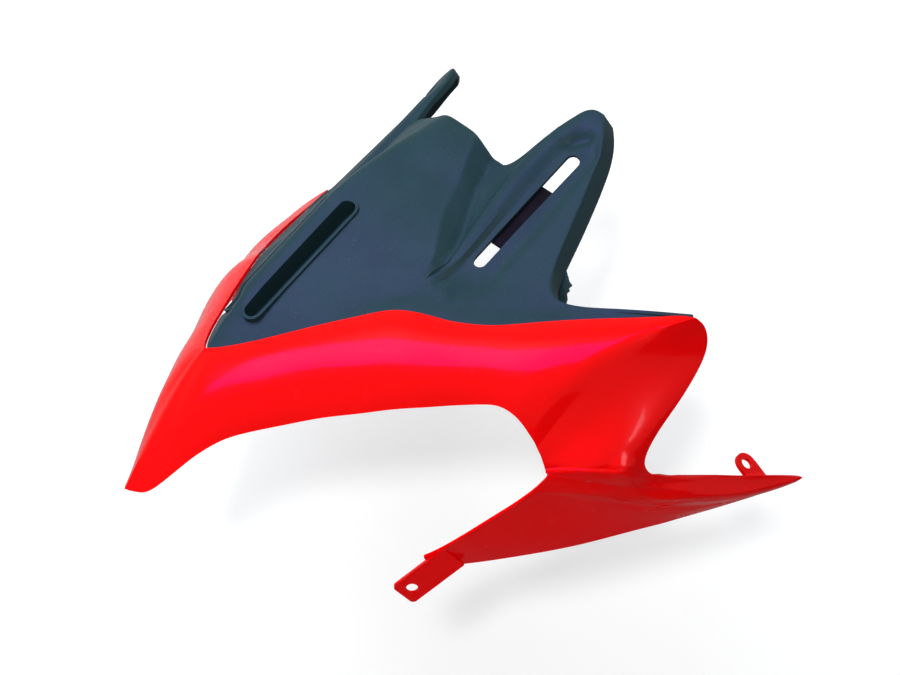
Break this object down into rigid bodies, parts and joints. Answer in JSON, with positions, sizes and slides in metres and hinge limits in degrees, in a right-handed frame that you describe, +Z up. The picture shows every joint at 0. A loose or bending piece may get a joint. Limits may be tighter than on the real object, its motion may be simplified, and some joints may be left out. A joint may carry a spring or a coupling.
{
  "type": "motorcycle nose fairing",
  "caption": "Motorcycle nose fairing: a gloss painted beak and headlight brow with a side leg and wing, round a matte black windscreen support with slotted horns and bolt tabs.",
  "frame": {"origin": "the centre of the front tab's hole, where the fairing is bolted on", "axes": "+X to the rear of the motorcycle, -Y to the side that has the leg and wing, +Z up as mounted"},
  "size_m": [0.4789, 0.5133, 0.3667],
  "materials": {
    "red_paint": "gloss lacquer over red paint",
    "black_plastic": "fine grained, moulded in black",
    "black_nylon": "smooth moulded"
  },
  "bodies": {
    "root": {"painted_shell": "red_paint", "screen_support": "black_plastic", "slot_slides": "black_nylon"}
  },
  "joints": []
}
